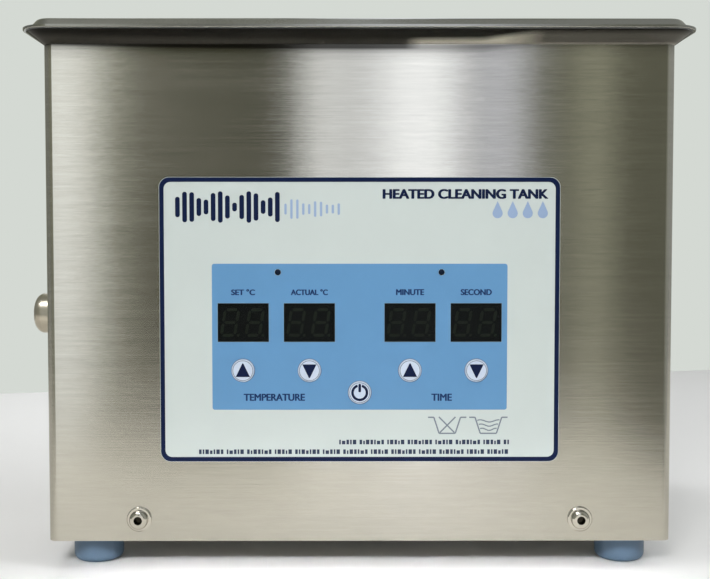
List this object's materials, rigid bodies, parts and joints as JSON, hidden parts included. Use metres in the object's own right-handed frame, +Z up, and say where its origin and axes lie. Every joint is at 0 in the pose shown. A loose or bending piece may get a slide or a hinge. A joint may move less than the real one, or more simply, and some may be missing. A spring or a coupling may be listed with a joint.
{
  "type": "ultrasonic cleaner",
  "caption": "Bench-top heated ultrasonic cleaning bath: open stainless tank in a brushed casing on round feet, with a digital control panel and a side drain tap.",
  "frame": {"origin": "on the floor under the middle of the casing", "axes": "+X to the right of someone facing the control panel, +Y from the panel towards the back, +Z up"},
  "size_m": [0.3555, 0.228, 0.271],
  "materials": {
    "casing_steel": "brushed",
    "tank_steel": "satin",
    "tray_steel": "satin",
    "seal_rubber": "matte",
    "foot_plastic": "matte",
    "zinc": "satin",
    "screw_steel": "polished",
    "overlay_film": "satin",
    "window_film": "gloss",
    "button_plastic": "satin",
    "board_laminate": "satin",
    "module_plastic": "matte",
    "switch_plastic": "matte",
    "led_plastic": "gloss",
    "ribbon_plastic": "matte",
    "horn_aluminium": "satin",
    "ceramic": "matte",
    "brass": "satin",
    "back_mass_steel": "satin",
    "pad_silicone": "matte",
    "sensor_brass": "satin",
    "cutout_plastic": "matte",
    "valve_brass": "satin",
    "grommet_rubber": "matte",
    "knob_metal": "brushed",
    "core_steel": "satin",
    "coil_copper": "gloss",
    "sink_aluminium": "satin",
    "chip_plastic": "matte",
    "can_sleeve": "gloss",
    "fan_plastic": "matte",
    "guard_chrome": "polished",
    "inlet_plastic": "satin",
    "fuse_glass": "gloss",
    "wire_plastic": "matte"
  },
  "bodies": {
    "unit": {"casing": "casing_steel", "tank": "tank_steel", "rim_seal": "seal_rubber", "base_tray": "tray_steel", "foot_front_left": "foot_plastic", "foot_front_right": "foot_plastic", "foot_rear_left": "foot_plastic", "foot_rear_right": "foot_plastic", "foot_screws": "zinc", "foot_nuts": "zinc", "casing_screws": "screw_steel", "casing_screw_washers": "screw_steel", "tray_weld_nuts": "zinc", "panel_overlay": "overlay_film", "display_windows": "window_film", "control_board": "board_laminate", "display_modules": "module_plastic", "tact_switches": "switch_plastic", "indicator_leds": "led_plastic", "control_board_spacers": "zinc", "control_board_screws": "zinc", "ribbon_cable": "ribbon_plastic", "transducer_horns": "horn_aluminium", "piezo_rings": "ceramic", "electrode_plates": "brass", "transducer_back_masses": "back_mass_steel", "transducer_bolts": "zinc", "heater_pads": "pad_silicone", "temperature_sensor": "sensor_brass", "thermal_cutout": "cutout_plastic", "drain_nipple": "tank_steel", "drain_grommet": "grommet_rubber", "drain_valve_body": "valve_brass", "generator_board": "board_laminate", "generator_board_spacers": "zinc", "generator_board_screws": "zinc", "transformer_core": "core_steel", "transformer_coil": "coil_copper", "heat_sink": "sink_aluminium", "power_transistors": "chip_plastic", "capacitors": "can_sleeve", "fan_frame": "fan_plastic", "fan_guard": "guard_chrome", "fan_screws": "zinc", "power_inlet": "inlet_plastic", "inlet_pins": "brass", "inlet_screws": "zinc", "wiring": "wire_plastic"},
    "temp_up_key": {"temp_up_button": "button_plastic"},
    "temp_down_key": {"temp_down_button": "button_plastic"},
    "time_up_key": {"time_up_button": "button_plastic"},
    "time_down_key": {"time_down_button": "button_plastic"},
    "power_key": {"power_button": "button_plastic"},
    "drain_tap": {"drain_valve_plug": "brass", "drain_seals": "grommet_rubber", "drain_knob": "knob_metal", "drain_knob_screw": "screw_steel"},
    "fan_wheel": {"fan_rotor": "fan_plastic"},
    "fuse_carrier": {"fuse_drawer": "inlet_plastic", "fuse": "fuse_glass"}
  },
  "joints": [
    {"name": "temp_up_key_press", "type": "slide", "parent": "unit", "child": "temp_up_key", "axis": [0, 1, 0], "range_m": [0, 0.0006], "stiffness_N_per_m": 900},
    {"name": "temp_down_key_press", "type": "slide", "parent": "unit", "child": "temp_down_key", "axis": [0, 1, 0], "range_m": [0, 0.0006], "stiffness_N_per_m": 900},
    {"name": "time_up_key_press", "type": "slide", "parent": "unit", "child": "time_up_key", "axis": [0, 1, 0], "range_m": [0, 0.0006], "stiffness_N_per_m": 900},
    {"name": "time_down_key_press", "type": "slide", "parent": "unit", "child": "time_down_key", "axis": [0, 1, 0], "range_m": [0, 0.0006], "stiffness_N_per_m": 900},
    {"name": "power_key_press", "type": "slide", "parent": "unit", "child": "power_key", "axis": [0, 1, 0], "range_m": [0, 0.0006], "stiffness_N_per_m": 900},
    {"name": "drain_tap_turn", "type": "hinge", "parent": "unit", "child": "drain_tap", "pos_m": [-0.18, 0, 0.121], "axis": [1, 0, 0], "range_deg": [0, 90]},
    {"name": "fan_spin", "type": "hinge", "parent": "unit", "child": "fan_wheel", "pos_m": [0.095, 0.093, 0.071], "axis": [0, 1, 0], "continuous": true},
    {"name": "fuse_drawer_slide", "type": "slide", "parent": "unit", "child": "fuse_carrier", "axis": [0, 1, 0], "range_m": [0, 0.018]}
  ]
}
